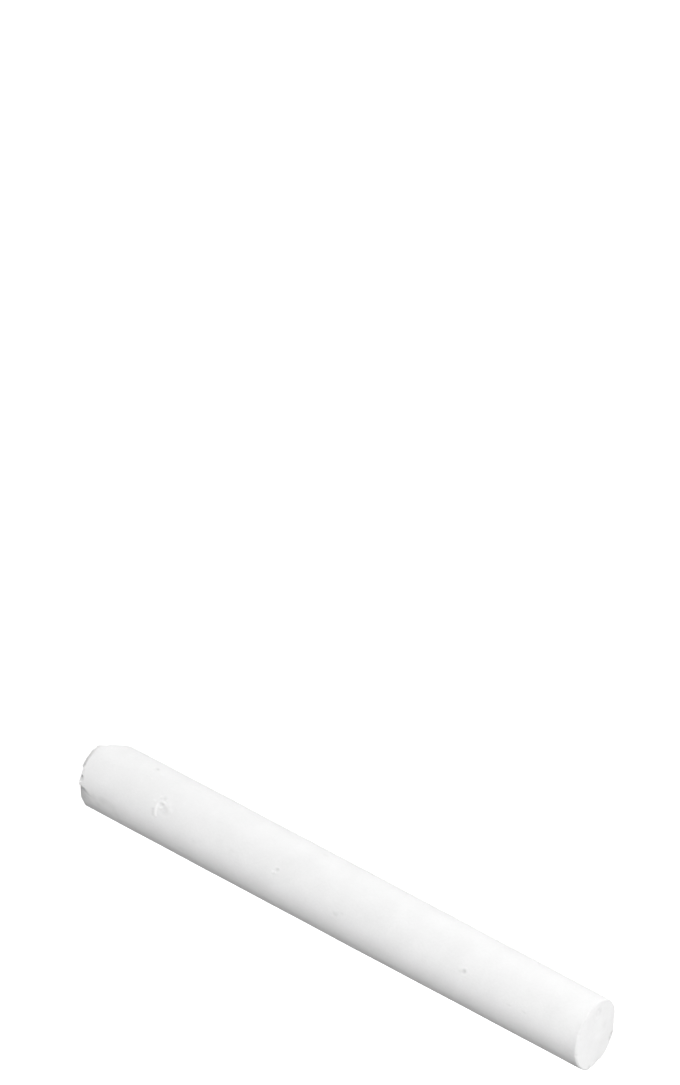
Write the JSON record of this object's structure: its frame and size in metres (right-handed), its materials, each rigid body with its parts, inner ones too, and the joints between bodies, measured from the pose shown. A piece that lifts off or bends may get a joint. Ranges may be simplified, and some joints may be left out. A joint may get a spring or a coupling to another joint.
{
  "type": "chalk stick",
  "caption": "White moulded blackboard chalk stick, slightly tapered, standing on its wide flat end, with a small end cut a little out of square.",
  "frame": {"origin": "centre of the wide end's face, on the surface that the stick stands on", "axes": "+Z along the stick's axis, from the wide end up to the small end; -Y is the front; +X is the side towards which the small end's slanted face rises, to its highest point 15 degrees behind it"},
  "size_m": [0.0094, 0.0094, 0.08],
  "materials": {
    "chalk": "matte"
  },
  "bodies": {
    "root": {"chalk_stick": "chalk"}
  },
  "joints": []
}
